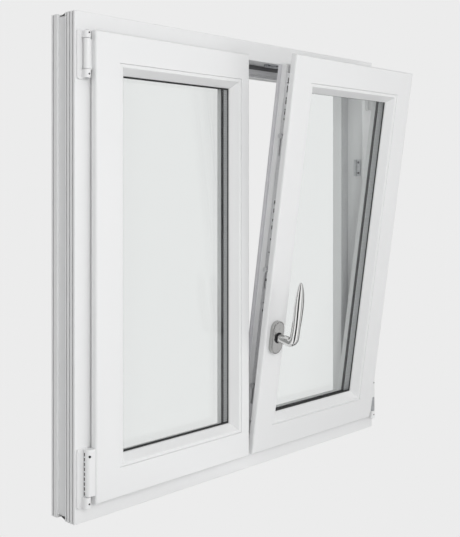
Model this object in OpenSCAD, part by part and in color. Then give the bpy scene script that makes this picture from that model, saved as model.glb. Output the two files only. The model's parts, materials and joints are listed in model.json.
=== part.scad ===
// Two-leaf tilt-and-turn window of white PVC, without a fixed mullion.
// The left leaf is held by two shoot bolts and turns; the right leaf carries the handle,
// and tilts or turns. It is drawn as it stands with the right leaf tilted into the room.
// X runs along the width, +Y points outdoors, +Z up. The origin is the middle of the
// frame's lower edge, in the plane of its room-side face.

/* [Outer frame] */
// Overall width of the frame
frame_w = 900; // [880:10:1200]
// Overall height of the frame
frame_h = 900; // [880:10:1200]
// Depth of the frame profile
frame_d = 70; // [70:1:74]
// Width of the frame's face on the room side
face_w = 40; // [40:1:42]
// Width of the outer leg that the leaves close against
leg_w = 68; // [66:1:70]
// Depth at which the outer leg starts
leg_y = 44; // [44:1:45]

/* [Leaves] */
// How far a leaf's face stands in front of the frame's face
proud = 20; // [20:1:22]
// Thickness of the lip that laps over the frame
lip_t = 15; // [14:1:15]
// How far the lip reaches past the leaf's body
lip = 20; // [20:1:20]
// Width of lip that covers the frame's face
lap = 8; // [7:1:9]
// Depth at which a leaf's outdoor face lies
leaf_back = 42; // [42:1:42]
// Flat face width between the lip's edge and the glazing bead
flat_w = 54; // [54:1:56]
// Flat face width of the left leaf's meeting stile
meeting_flat_w = 24; // [24:1:26]
// Width of a glazing bead
bead_w = 20; // [20:1:22]
// Where the left leaf's meeting edge lies
left_meeting_x = -20; // [-22:1:-20]
// Where the right leaf's lip starts
right_meeting_x = -8; // [-8:1:-6]

/* [Glass] */
// Thickness of one pane
pane_t = 4; // [4:1:4]
// Gap between the panes
pane_gap = 16; // [16:1:16]

/* [Tilt and hinges] */
// Tilt angle that the right leaf is drawn at
tilt = 8.4; // [0:0.1:8.4]
// Depth of the tilt axis
tilt_y = -10; // [-10:1:-9]
// Height of the tilt axis
tilt_z = 55; // [55:1:57]
// Distance of the upright hinge axes from the middle
hinge_x = 432; // [432:1:432]
// Depth of the upright hinge axes
hinge_y = -12; // [-12:1:-12]
// Radius of the hinge pins
pin_r = 3; // [3:0.1:3.2]
// Radius of the hinge knuckles
knuckle_r = 6.5; // [6.5:0.1:6.8]

/* [Handle and gear] */
// Height of the handle's spindle
handle_z = 283; // [283:1:300]
// Place of the handle's spindle across the window
handle_x = 22; // [22:1:22]
// Length of the lever from the spindle to its tip
lever_l = 128; // [120:1:135]
// Travel of the drive rail for half a turn of the handle
rail_travel = 36; // [30:1:36]

/* [Hidden] */
$fn = 48;

pvc_white = [0.93, 0.93, 0.92];
steel_grey = [0.62, 0.63, 0.65];
satin_steel = [0.70, 0.69, 0.67];
rubber_black = [0.10, 0.10, 0.11];
glass_tint = [0.80, 0.90, 0.90, 0.35];

run_fit = 0.05;               // radial clearance of a pin in its bore
wall = 3.5;                   // thickness of the PVC walls
face_y = -proud;              // room-side face of a leaf
lip_back = face_y + lip_t;    // back of the lip
bead_end = flat_w + bead_w;   // where the visible glass starts, from the lip's edge
meeting_end = meeting_flat_w + bead_w;
glass_y = 2;                  // room-side face of the glass
spacer_y = glass_y + pane_t;
outer_pane_y = spacer_y + pane_gap;
glass_back = outer_pane_y + pane_t;
glass_inset = 3;              // from the rebate floor to the glass edge
leg_h = 11;                   // height of the leaf's outdoor glazing leg
seat_y = glass_back + 3;      // face of the leaf's outdoor glazing leg
groove_in = 5;                // hardware groove, nearest the room
groove_out = 21;
groove_d = 2.2;
deep_in = 7;                  // deep part of the hardware groove
deep_out = 19;
deep_d = 10.2;
gear_y = (deep_in + deep_out) / 2;

edge = face_w - lap;          // from the frame's edge to the lip's edge
// rectangles are [left, right, bottom, top]
frame_rect = [-frame_w / 2, frame_w / 2, 0, frame_h];
left_rect = [-frame_w / 2 + edge, left_meeting_x, edge, frame_h - edge];
right_rect = [right_meeting_x, frame_w / 2 - edge, edge, frame_h - edge];
body_top = right_rect[3] - lip;
body_left = right_rect[0] + lip;
// what the beads enclose from outside
left_glazing = [left_rect[0] + flat_w, left_rect[1] - meeting_flat_w,
                left_rect[2] + flat_w, left_rect[3] - flat_w];
right_glazing = [right_rect[0] + flat_w, right_rect[1] - flat_w,
                 right_rect[2] + flat_w, right_rect[3] - flat_w];

// stay arm, as it lies when the leaf is closed
arm_run = 300;                // from the hinge axis to the guide pin
arm_z = body_top + 4.5;       // underside of the arm
arm_t = 3;
arm_w = 12;
arm_offset = gear_y - hinge_y;
arm_reach = norm([arm_run, arm_offset]);
// the arm turns until its pin stands where the tilted guide has gone
guide_y = tilt_y + (gear_y - tilt_y) * cos(tilt) - (body_top - 2 - tilt_z) * sin(tilt);
arm_swing = atan2(arm_offset, arm_run) + asin((hinge_y - guide_y) / arm_reach);

cam_heights = [170, 420, 700];
screw_gap = 43;               // between the handle's two screws
rose_w = 34;
rose_h = 70;
rose_t = 10;
gear_h = 110;

function arc(cx, cy, r, from, to, steps = 4) =
    [for (i = [0:steps]) let (a = from + (to - from) * i / steps)
        [cx + r * cos(a), cy + r * sin(a)]];

// ---- placing profiles: a profile is drawn as (distance from the edge, depth)

module bar(len)
    rotate([0, -90, 0]) linear_extrude(len, center = true) children();

module slab(points)
    rotate([90, 0, 0]) linear_extrude(400, center = true) polygon(points);

module mitred(len)
    intersection() {
        bar(len) children();
        slab([[-len / 2, 0], [len / 2, 0], [0, len / 2]]);
    }

module bottom_side(r)
    translate([(r[0] + r[1]) / 2, 0, r[2]]) mitred(r[1] - r[0]) children();
module top_side(r)
    translate([(r[0] + r[1]) / 2, 0, r[3]]) mirror([0, 0, 1]) mitred(r[1] - r[0]) children();
module left_side(r)
    translate([r[0], 0, (r[2] + r[3]) / 2]) rotate([0, 90, 0]) mitred(r[3] - r[2]) children();
module right_side(r)
    translate([r[1], 0, (r[2] + r[3]) / 2]) mirror([1, 0, 0]) rotate([0, 90, 0])
        mitred(r[3] - r[2]) children();
module ring(r) {
    bottom_side(r) children();
    top_side(r) children();
    left_side(r) children();
    right_side(r) children();
}
module box_at(low, high)
    translate(low) cube(high - low);
module rod_y(x, y0, y1, z, r)
    translate([x, y0, z]) rotate([-90, 0, 0]) cylinder(h = y1 - y0, r = r);
module rod_x(x0, x1, y, z, r)
    translate([x0, y, z]) rotate([0, 90, 0]) cylinder(h = x1 - x0, r = r);
module rod_z(x, y, z0, z1, r)
    translate([x, y, z0]) cylinder(h = z1 - z0, r = r);
module rounded(w, h, r)
    polygon(concat(arc(w - r, r, r, -90, 0), arc(w - r, h - r, r, 0, 90),
                   arc(r, h - r, r, 90, 180), arc(r, r, r, 180, 270)));
module plate_y(x0, x1, y0, y1, z0, z1, r)
    translate([x0, y1, z0]) rotate([90, 0, 0]) linear_extrude(y1 - y0)
        rounded(x1 - x0, z1 - z0, r);
// the right leaf's own places, moved to where the leaf stands
module tilted()
    translate([0, tilt_y, tilt_z]) rotate([tilt, 0, 0]) translate([0, -tilt_y, -tilt_z])
        children();
module mirrored()
    mirror([1, 0, 0]) children();

// ---- outer frame

// narrow grooves and the wide channel round the outer edge
grooves_y = [5, 14, 22.5, 62.5];
groove_wide = 3.2;
groove_cut = 4;
channel_y = [28.5, 52.5];
channel_cut = 5;
module frame_profile()
    difference() {
        polygon(concat(
            [[0, 0]], arc(face_w - 2, 2, 2, -90, 0), [[face_w, leg_y]],
            arc(leg_w - 1.5, leg_y + 1.5, 1.5, -90, 0),
            arc(leg_w - 2.5, frame_d - 2.5, 2.5, 0, 90), arc(1.5, frame_d - 1.5, 1.5, 90, 180)));
        for (y = grooves_y) translate([-1, y]) square([groove_cut + 1, groove_wide]);
        translate([-1, channel_y[0]]) square([channel_cut + 1, channel_y[1] - channel_y[0]]);
        translate([leg_w - 8, leg_y - 1]) square([4, 3]);
        translate([8.5, 8]) square([face_w - 12, 28]);
        translate([8.5, leg_y + wall + 6]) square([26, frame_d - leg_y - 13]);
        translate([38, leg_y + wall + 2]) square([leg_w - 38 - wall, frame_d - leg_y - 9]);
    }
fixing_y = 34;
fixing_r = 4;
fixing_gap = 600;
module fixing_holes()
    for (z = [-fixing_gap / 2, fixing_gap / 2])
        rod_x(-frame_w / 2 - 1, -frame_w / 2 + leg_w, fixing_y, frame_h / 2 + z, fixing_r);
bolt_x = left_meeting_x - 6;
bolt_r = 3.7;
module bolt_hole()
    rod_z(bolt_x, gear_y, face_w - wall - 1, face_w + 1, bolt_r + 0.6);

module frame_head()
    color(pvc_white) difference() {
        top_side(frame_rect) frame_profile();
        translate([0, 0, frame_h]) mirror([0, 0, 1]) bolt_hole();
    }
module frame_sill()
    color(pvc_white) difference() {
        bottom_side(frame_rect) frame_profile();
        bolt_hole();
    }
module frame_jamb_left()
    color(pvc_white) difference() {
        left_side(frame_rect) frame_profile();
        fixing_holes();
    }
module frame_jamb_right()
    color(pvc_white) difference() {
        right_side(frame_rect) frame_profile();
        mirrored() fixing_holes();
    }
module frame_tube()
    difference() {
        translate([9, 9]) square([27, 17]);
        translate([11, 11]) square([23, 13]);
    }
module frame_steel()
    color(steel_grey) {
        for (x = [-1, 1]) translate([x * frame_w / 2, 0, frame_h / 2])
            scale([-x, 1, 1]) rotate([0, 90, 0]) bar(frame_h - 160) frame_tube();
        bar(frame_w - 160) frame_tube();
    }
module frame_seal()
    color(rubber_black) ring(frame_rect)
        polygon(concat([[leg_w - 7.9, leg_y + 1.8], [leg_w - 7.9, leg_y - 0.3]],
            arc(leg_w - 6, leg_y - 0.2, 1.4, 180, 360), [[leg_w - 4.1, leg_y + 1.8]]));
module drain_caps()
    color(pvc_white) for (x = [-250, 0, 250]) difference() {
        plate_y(x - 20, x + 20, frame_d, frame_d + 3, 24, 38, 3);
        plate_y(x - 15, x + 15, frame_d + 1.2, frame_d + 4, 22, 30, 1);
    }
module striker()
    difference() {
        union() {
            box_at([-20, gear_y - 8, 0], [20, gear_y + 8, 2.5]);
            box_at([-20, gear_y + 3, 2], [20, gear_y + 8, 6]);
        }
        for (x = [-13, 13]) rod_z(x, gear_y - 3, -1, 4, 2.2);
    }
module strikers()
    color(steel_grey) {
        translate([90, 0, frame_h - face_w]) mirror([0, 0, 1]) striker();
        translate([120, 0, face_w]) striker();
        for (z = [180, 640])
            translate([frame_w / 2 - face_w, 0, z]) rotate([0, -90, 0]) striker();
    }

// ---- hinges, drawn on the right side and mirrored for the left

plate_in = 421.5;
plate_out = 447;
plate_t = 4;
module hinge_plate(z0, z1)
    plate_y(plate_in, plate_out, -plate_t, 0, z0, z1, 5);
module pin_bore()
    rod_z(hinge_x, hinge_y, -1, frame_h, pin_r + run_fit);
// fixed knuckle with its web to the plate
module fixed_knuckle(z0, z1) {
    rod_z(hinge_x, hinge_y, z0, z1, knuckle_r);
    box_at([hinge_x - 4, hinge_y, z0], [hinge_x + knuckle_r, -plate_t + 0.2, z1]);
}
// moving knuckle with the strap that grips the lip's edge
module leaf_knuckle(z0, z1)
    difference() {
        union() {
            rod_z(hinge_x, hinge_y, z0, z1, knuckle_r);
            box_at([right_rect[1], face_y + 3.2, z0], [right_rect[1] + 3, lip_back - 1.7, z1]);
            box_at([right_rect[1] + 2, hinge_y - 3, z0], [hinge_x, hinge_y + 3, z1]);
        }
        pin_bore();
    }
top_plate = [780, 867];
low_plate = [27, 132];
module left_hinge_plates()
    color(pvc_white) mirrored() difference() {
        union() {
            hinge_plate(top_plate[0], top_plate[1]);
            fixed_knuckle(top_plate[0] + 2, top_plate[0] + 17);
            fixed_knuckle(top_plate[1] - 15, top_plate[1] - 2);
            hinge_plate(low_plate[0], low_plate[1]);
            fixed_knuckle(low_plate[0] + 1, low_plate[0] + 21);
        }
        pin_bore();
    }
module left_hinge_knuckles()
    color(pvc_white) mirrored() {
        leaf_knuckle(top_plate[0] + 17.5, top_plate[1] - 15.5);
        leaf_knuckle(low_plate[0] + 21.5, low_plate[1] - 4);
    }
right_low_plate = [25, 122];
module corner_bearing()
    color(pvc_white) difference() {
        union() {
            hinge_plate(right_low_plate[0], right_low_plate[1]);
            fixed_knuckle(right_low_plate[0] + 1, 44);
            fixed_knuckle(78, right_low_plate[1] - 2);
        }
        pin_bore();
    }
stay_knuckle = [828, 852];
module stay_bearing()
    color(pvc_white) difference() {
        union() {
            hinge_plate(top_plate[0], top_plate[1]);
            fixed_knuckle(top_plate[0] + 2, stay_knuckle[0] - 0.5);
        }
        pin_bore();
        // room for the stay arm's strap
        box_at([plate_in - 1, -plate_t - 1, stay_knuckle[0] - 2], [434, 1, frame_h]);
    }
module hinge_pins()
    color(steel_grey) {
        mirrored() {
            rod_z(hinge_x, hinge_y, top_plate[0] + 1, top_plate[1] - 1, pin_r);
            rod_z(hinge_x, hinge_y, low_plate[0], low_plate[1] - 5, pin_r);
        }
        rod_z(hinge_x, hinge_y, right_low_plate[0], right_low_plate[1] - 1, pin_r);
        rod_z(hinge_x, hinge_y, top_plate[0] + 1, stay_knuckle[1] + 1, pin_r);
    }
module hinge_screw(z)
    rod_y(plate_out - 4.5, -plate_t - 1.2, -plate_t, z, 3);
module hinge_screws()
    color(steel_grey) {
        for (z = [top_plate[0] + 8, top_plate[1] - 8]) {
            hinge_screw(z);
            mirrored() hinge_screw(z);
        }
        for (z = [right_low_plate[0] + 8, right_low_plate[1] - 8]) hinge_screw(z);
        mirrored() for (z = [low_plate[0] + 8, low_plate[1] - 8]) hinge_screw(z);
    }

// ---- leaf profiles

module hardware_groove(x)
    translate([x, 0]) {
        translate([-1, groove_in]) square([groove_d + 1, groove_out - groove_in]);
        translate([-1, deep_in]) square([deep_d + 1, deep_out - deep_in]);
    }
// glazing side of a leaf profile whose bead starts at b
function glazing_edge(b) = concat(
    arc(b - 0.6, face_y + 0.6, 0.6, -90, 0), [[b, seat_y]],
    arc(b + leg_h - 1.5, seat_y + 1.5, 1.5, -90, 0),
    arc(b + leg_h - 4, leaf_back - 4, 4, 0, 90));
steel_u = [34, 50];
steel_v = [-15.5, 25];
module leaf_profile()
    difference() {
        polygon(concat(
            arc(3, face_y + 3, 3, 180, 270), glazing_edge(flat_w),
            arc(lip + 2, leaf_back - 2, 2, 90, 180), [[lip, lip_back]],
            arc(1.5, lip_back - 1.5, 1.5, 90, 180)));
        hardware_groove(lip);
        translate([4.8, lip_back - 2]) square([3.4, 3]);
        translate([steel_u[0] - 0.5, steel_v[0] - 0.5])
            square([steel_u[1] - steel_u[0] + 1, steel_v[1] - steel_v[0] + 1]);
        translate([9, face_y + wall]) square([21, 8]);
        translate([24, seat_y + wall]) square([flat_w + leg_h - 29, 5]);
    }
module meeting_profile()
    difference() {
        polygon(concat(
            arc(3, face_y + 3, 3, 180, 270), glazing_edge(meeting_flat_w),
            arc(2, leaf_back - 2, 2, 90, 180)));
        hardware_groove(0);
        translate([wall, face_y + wall]) square([meeting_flat_w - 2 * wall, 18]);
        translate([wall, seat_y + wall]) square([meeting_flat_w + leg_h - 8, 5]);
    }
module steel_tube()
    translate([steel_u[0], steel_v[0]]) difference() {
        square([steel_u[1] - steel_u[0], steel_v[1] - steel_v[0]]);
        translate([2, 2])
            square([steel_u[1] - steel_u[0] - 4, steel_v[1] - steel_v[0] - 4]);
    }
// the bead, drawn from the rebate floor inwards
module bead_profile()
    polygon(concat(
        [[0.3, 1.5], [0.3, face_y + 1.6], [1, face_y + 0.8], [6.2, face_y + 0.8],
         [7, face_y + 1.6]],
        arc(bead_w - 2.2, -2.8, 2.2, -48, 0),
        [[bead_w, -1], [4, -1], [4, 1.5]]));
// room-side and outdoor glazing seals, each with a lip past its bead or leg
seal_lip = 0.8;
module glazing_seal_profiles() {
    translate([9, -1]) square([bead_w + seal_lip - 9, glass_y + 1]);
    translate([5, glass_back]) square([leg_h + seal_lip - 5, seat_y - glass_back]);
}
module spacer_profile()
    translate([glass_inset + 0.5, spacer_y]) difference() {
        square([7.5, pane_gap]);
        translate([1.5, 2]) square([4.5, pane_gap - 4]);
    }
module pane(r, y)
    box_at([r[0] + glass_inset, y, r[2] + glass_inset],
           [r[1] - glass_inset, y + pane_t, r[3] - glass_inset]);
module setting_blocks(r)
    for (x = [r[0] + 60, r[1] - 60], z = [r[2] + 0.5, r[3] - glass_inset + 0.5])
        box_at([x - 25, glass_y, z], [x + 25, glass_back, z + glass_inset - 1]);
module lip_seal_profile(out)
    polygon(concat([[4.9, lip_back - 1.9], [8.1, lip_back - 1.9]],
                   arc(6.5, lip_back + out - 1.6, 1.6, 0, 180)));
lip_seal_out = 4.4;
lip_seal_out_low = 1.7;

// ---- left leaf

left_mitre = [[left_rect[1], left_rect[2]],
              [left_glazing[1], left_glazing[2]],
              [left_rect[1] - meeting_end, left_rect[2] + bead_end]];
function flip_z(p) = [p[0], frame_h - p[1]];
module left_rail()
    intersection() {
        translate([(left_rect[0] + left_rect[1]) / 2, 0, left_rect[2]])
            bar(left_rect[1] - left_rect[0]) leaf_profile();
        slab(concat([[left_rect[0], left_rect[2]]], left_mitre,
                    [[left_rect[0] + bead_end, left_rect[2] + bead_end]]));
    }
module left_bottom_rail()
    color(pvc_white) left_rail();
module left_top_rail()
    color(pvc_white) translate([0, 0, frame_h]) mirror([0, 0, 1]) left_rail();
module left_hinge_stile()
    color(pvc_white) left_side(left_rect) leaf_profile();
module left_meeting_stile()
    color(pvc_white) difference() {
        intersection() {
            translate([left_rect[1], 0, frame_h / 2]) mirror([1, 0, 0]) rotate([0, 90, 0])
                bar(left_rect[3] - left_rect[2]) meeting_profile();
            slab(concat(left_mitre, [for (i = [2, 1, 0]) flip_z(left_mitre[i])]));
        }
        for (z = [left_rect[2] - 1, left_rect[3] - lip])
            box_at([left_rect[1] - 60, lip_back, z], [left_rect[1] + 1, 60, z + lip + 1]);
    }
module left_steel()
    color(steel_grey) {
        translate([left_rect[0], 0, frame_h / 2]) rotate([0, 90, 0])
            bar(left_rect[3] - left_rect[2] - 130) steel_tube();
        for (z = [0, 1]) translate([-5, 0, z * frame_h]) scale([1, 1, 1 - 2 * z])
            translate([(left_rect[0] + left_rect[1]) / 2, 0, left_rect[2]])
                bar(left_rect[1] - left_rect[0] - 120) steel_tube();
    }
module left_bead_top() color(pvc_white) top_side(left_glazing) bead_profile();
module left_bead_bottom() color(pvc_white) bottom_side(left_glazing) bead_profile();
module left_bead_hinge() color(pvc_white) left_side(left_glazing) bead_profile();
module left_bead_meeting() color(pvc_white) right_side(left_glazing) bead_profile();
module left_pane_inner() color(glass_tint) pane(left_glazing, glass_y);
module left_pane_outer() color(glass_tint) pane(left_glazing, outer_pane_y);
module left_spacer() color(steel_grey) ring(left_glazing) spacer_profile();
module left_glazing_seals() color(rubber_black) ring(left_glazing) glazing_seal_profiles();
module left_lip_seal()
    color(rubber_black) difference() {
        union() {
            bottom_side(left_rect) lip_seal_profile(lip_seal_out);
            top_side(left_rect) lip_seal_profile(lip_seal_out);
            left_side(left_rect) lip_seal_profile(lip_seal_out);
        }
        box_at([left_rect[1] - 6, -30, 0], [left_rect[1] + 30, 30, frame_h]);
    }
module left_setting_blocks() color("dimgray") setting_blocks(left_glazing);
module left_edge_plate()
    color(steel_grey) difference() {
        box_at([left_meeting_x - 2, groove_in + 0.3, 60],
               [left_meeting_x - 0.2, groove_out - 0.3, frame_h - 60]);
        for (z = cam_heights)
            box_at([left_meeting_x - 3, gear_y - 4, z - 26], [left_meeting_x + 1, gear_y + 4, z + 20]);
    }
bolt_l = 150;
bolt_inset = 54;
module shoot_bolt_bottom()
    color(steel_grey) rod_z(bolt_x, gear_y, bolt_inset, bolt_inset + bolt_l, bolt_r);
module shoot_bolt_top()
    color(steel_grey)
        rod_z(bolt_x, gear_y, frame_h - bolt_inset - bolt_l, frame_h - bolt_inset, bolt_r);

// ---- right leaf, drawn closed and then tilted

pocket = [body_left + 2, body_left + 26];
module gear_pocket()
    box_at([pocket[0], deep_in, handle_z - gear_h / 2 - 1],
           [pocket[1], deep_out, handle_z + gear_h / 2 + 1]);
module handle_holes() {
    rod_y(handle_x, face_y - 1, deep_in + 1, handle_z, 6);
    for (z = [-screw_gap / 2, screw_gap / 2])
        rod_y(handle_x, face_y - 1, deep_in + 1, handle_z + z, 2.6);
}
module right_top_rail()
    color(pvc_white) tilted() top_side(right_rect) leaf_profile();
module right_bottom_rail()
    color(pvc_white) tilted() bottom_side(right_rect) leaf_profile();
module right_hinge_stile()
    color(pvc_white) tilted() right_side(right_rect) leaf_profile();
module right_meeting_stile()
    color(pvc_white) tilted() difference() {
        left_side(right_rect) leaf_profile();
        gear_pocket();
        handle_holes();
    }
module right_steel()
    color(steel_grey) tilted() {
        translate([right_rect[1], 0, frame_h / 2]) mirror([1, 0, 0]) rotate([0, 90, 0])
            bar(right_rect[3] - right_rect[2] - 130) steel_tube();
        difference() {
            translate([right_rect[0], 0, frame_h / 2]) rotate([0, 90, 0])
                bar(right_rect[3] - right_rect[2] - 130) steel_tube();
            box_at([0, -30, handle_z - 70], [60, 50, handle_z + 70]);
        }
        for (z = [0, 1]) translate([0, 0, z * frame_h]) scale([1, 1, 1 - 2 * z])
            translate([(right_rect[0] + right_rect[1]) / 2, 0, right_rect[2]])
                bar(right_rect[1] - right_rect[0] - 130) steel_tube();
    }
module right_bead_top() color(pvc_white) tilted() top_side(right_glazing) bead_profile();
module right_bead_bottom()
    color(pvc_white) tilted() bottom_side(right_glazing) bead_profile();
module right_bead_hinge()
    color(pvc_white) tilted() right_side(right_glazing) bead_profile();
module right_bead_meeting()
    color(pvc_white) tilted() left_side(right_glazing) bead_profile();
module right_pane_inner() color(glass_tint) tilted() pane(right_glazing, glass_y);
module right_pane_outer() color(glass_tint) tilted() pane(right_glazing, outer_pane_y);
module right_spacer() color(steel_grey) tilted() ring(right_glazing) spacer_profile();
module right_glazing_seals()
    color(rubber_black) tilted() ring(right_glazing) glazing_seal_profiles();
module right_lip_seal()
    color(rubber_black) tilted() difference() {
        union() {
            bottom_side(right_rect) lip_seal_profile(lip_seal_out_low);
            top_side(right_rect) lip_seal_profile(lip_seal_out);
            right_side(right_rect) lip_seal_profile(lip_seal_out);
            left_side(right_rect) lip_seal_profile(lip_seal_out_low);
        }
        box_at([right_rect[1] - 20, -30, body_top - 40], [right_rect[1] + 5, 30, body_top + 10]);
        box_at([right_rect[1] - 20, lip_back + 1.2, 0], [right_rect[1] + 5, 30, tilt_z + 40]);
    }
// bulb along the outdoor edge of the meeting stile
module right_meeting_seal()
    color(rubber_black) tilted()
        difference() {
            left_side(right_rect)
                polygon(concat([[lip, 34], [lip, 40]], arc(lip - 4, 37, 3, 90, 270)));
            for (z = [0, body_top - 2])
                box_at([-60, 0, z], [60, 60, z + right_rect[2] + lip + 2]);
        }
module right_setting_blocks() color("dimgray") tilted() setting_blocks(right_glazing);

plate_x = [body_left + 0.2, body_left + 1.9];
rail_x = [body_left + 2.3, body_left + 4.1];
module cam_slot(z)
    box_at([body_left - 1, gear_y - 4.5, z - rail_travel - 4.5],
           [body_left + 3, gear_y + 4.5, z + 4.5]);
module faceplate()
    color(steel_grey) tilted() difference() {
        box_at([plate_x[0], groove_in + 0.3, 70], [plate_x[1], groove_out - 0.3, frame_h - 70]);
        for (z = cam_heights) cam_slot(z);
        for (z = [90, 350, 560, 810]) rod_x(body_left - 1, body_left + 3, gear_y, z, 2.2);
    }
module drive_rail()
    color(satin_steel) tilted() {
        box_at([rail_x[0], deep_in + 1, 110], [rail_x[1], deep_out - 1, frame_h - 110]);
        for (z = cam_heights) {
            rod_x(body_left - 8, rail_x[0] + 0.5, gear_y, z, 3.5);
            rod_x(body_left - 8, body_left - 5, gear_y, z, 5.5);
        }
    }
hub_r = 5.4;
module gearbox()
    color(steel_grey) tilted() difference() {
        box_at([body_left + 5, deep_in + 0.4, handle_z - gear_h / 2],
               [pocket[1] - 0.4, deep_out - 0.4, handle_z + gear_h / 2]);
        rod_y(handle_x, 0, 30, handle_z, hub_r + 0.08);
        for (z = [-screw_gap / 2, screw_gap / 2])
            rod_y(handle_x, 0, 14, handle_z + z, 2.5);
    }
module rose_outline(grow)
    translate([-rose_w / 2 - grow, -rose_h / 2 - grow])
        rounded(rose_w + 2 * grow, rose_h + 2 * grow, rose_w / 2 + grow - 0.01);
neck_r = 10;
module handle_rose()
    color(satin_steel) tilted() translate([handle_x, face_y, handle_z]) rotate([90, 0, 0])
        difference() {
            linear_extrude(rose_t) rose_outline(0);
            translate([0, 0, -1]) linear_extrude(rose_t - 1.5) rose_outline(-2);
            cylinder(h = 30, r = neck_r + 0.08);
        }
module handle_screws()
    color(steel_grey) tilted() for (z = [-screw_gap / 2, screw_gap / 2]) {
        rod_y(handle_x, face_y, 13, handle_z + z, 2.4);
        rod_y(handle_x, face_y - 3.5, face_y, handle_z + z, 4.5);
    }

// half width of the lever's blade at a share t of its length
function blade_half(t) = t < 0.6 ? 8 + 3.5 * sin(150 * t) : 11.5 * pow(cos(90 * (t - 0.6) / 0.4), 0.7);
blade_steps = 12;
grip_y = [face_y - 58, face_y - 46];
module handle_lever()
    color(satin_steel) tilted() difference() {
        union() {
            rod_y(handle_x, grip_y[1] - 2, face_y - 2.5, handle_z, neck_r);
            translate([handle_x, grip_y[1], handle_z]) rotate([90, 0, 0])
                linear_extrude(grip_y[1] - grip_y[0])
                    polygon(concat(
                        arc(0, 0, 11, 180, 360, 8),
                        [for (i = [2:blade_steps - 1]) let (t = i / blade_steps)
                            [blade_half(t), t * lever_l]],
                        [[0, lever_l]],
                        [for (i = [blade_steps - 1:-1:2]) let (t = i / blade_steps)
                            [-blade_half(t), t * lever_l]]));
        }
        box_at([handle_x - 3.55, face_y - 31, handle_z - 3.55],
               [handle_x + 3.55, face_y, handle_z + 3.55]);
    }
module handle_spindle()
    color(steel_grey) tilted() {
        box_at([handle_x - 3.5, face_y - 30, handle_z - 3.5], [handle_x + 3.5, 10, handle_z + 3.5]);
        rod_y(handle_x, 8, 18, handle_z, hub_r);
    }

// ---- tilt pivot and stay

shoe_t = 5;
module pivot_shoe()
    color(steel_grey) tilted() difference() {
        box_at([right_rect[1], face_y + 3.2, tilt_z - 12],
               [right_rect[1] + shoe_t, lip_back - 1.2, tilt_z + 40]);
        rod_x(right_rect[1] - 1, right_rect[1] + 10, tilt_y, tilt_z, pin_r + run_fit);
    }
knuckle_low = 44.6;
module turn_knuckle()
    color(steel_grey) difference() {
        union() {
            rod_z(hinge_x, hinge_y, knuckle_low, 77.4, knuckle_r);
            box_at([right_rect[1] + shoe_t + 0.5, hinge_y - 4, knuckle_low + 1],
                   [hinge_x, hinge_y + 6, tilt_z + 9]);
            rod_x(right_rect[1] + 0.3, right_rect[1] + shoe_t + 1, tilt_y, tilt_z, pin_r);
        }
        pin_bore();
    }
// channel that the stay's guide pin runs in
guide_x = [100, 180];
module stay_guide()
    color(steel_grey) tilted() difference() {
        box_at([guide_x[0], deep_in + 0.3, body_top - deep_d + 0.3],
               [guide_x[1], deep_out - 0.3, body_top - 0.4]);
        box_at([guide_x[0] + 4, gear_y - 4.2, body_top - deep_d + 1.8],
               [guide_x[1] - 4, gear_y + 4.2, body_top + 1]);
    }
module stay_arm()
    color(satin_steel) translate([hinge_x, hinge_y, 0]) rotate([0, 0, arm_swing])
        translate([-hinge_x, -hinge_y, 0]) difference() {
            union() {
                rod_z(hinge_x, hinge_y, stay_knuckle[0], stay_knuckle[1], knuckle_r);
                box_at([hinge_x - 9, hinge_y, stay_knuckle[0] + 2],
                       [hinge_x - 5.6, lip_back + 3.6, arm_z + arm_t]);
                box_at([frame_w / 2 - face_w - 6, lip_back + 0.8, stay_knuckle[0] + 12],
                       [hinge_x - 6, lip_back + 3.6, arm_z + arm_t]);
                box_at([frame_w / 2 - face_w - 18, lip_back + 0.8, arm_z],
                       [frame_w / 2 - face_w - 2, gear_y + arm_w / 2, arm_z + arm_t]);
                box_at([hinge_x - arm_run, gear_y - arm_w / 2, arm_z],
                       [frame_w / 2 - face_w - 10, gear_y + arm_w / 2, arm_z + arm_t]);
                rod_z(hinge_x - arm_run, gear_y, arm_z, arm_z + arm_t, arm_w / 2);
                rod_z(hinge_x - arm_run, gear_y, arm_z - 12.3, arm_z + 1, 2.5);
            }
            pin_bore();
        }

frame_head();
frame_sill();
frame_jamb_left();
frame_jamb_right();
frame_steel();
frame_seal();
drain_caps();
strikers();
stay_bearing();
corner_bearing();
left_hinge_plates();
hinge_pins();
hinge_screws();
left_top_rail();
left_bottom_rail();
left_hinge_stile();
left_meeting_stile();
left_steel();
left_bead_top();
left_bead_bottom();
left_bead_hinge();
left_bead_meeting();
left_pane_inner();
left_pane_outer();
left_spacer();
left_glazing_seals();
left_lip_seal();
left_setting_blocks();
left_hinge_knuckles();
left_edge_plate();
shoot_bolt_top();
shoot_bolt_bottom();
right_top_rail();
right_bottom_rail();
right_hinge_stile();
right_meeting_stile();
right_steel();
right_bead_top();
right_bead_bottom();
right_bead_hinge();
right_bead_meeting();
right_pane_inner();
right_pane_outer();
right_spacer();
right_glazing_seals();
right_lip_seal();
right_meeting_seal();
right_setting_blocks();
pivot_shoe();
stay_guide();
gearbox();
faceplate();
drive_rail();
handle_rose();
handle_screws();
handle_lever();
handle_spindle();
turn_knuckle();
stay_arm();
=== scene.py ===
import json
import math

import bmesh
import bpy
from mathutils import Matrix, Vector


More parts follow.
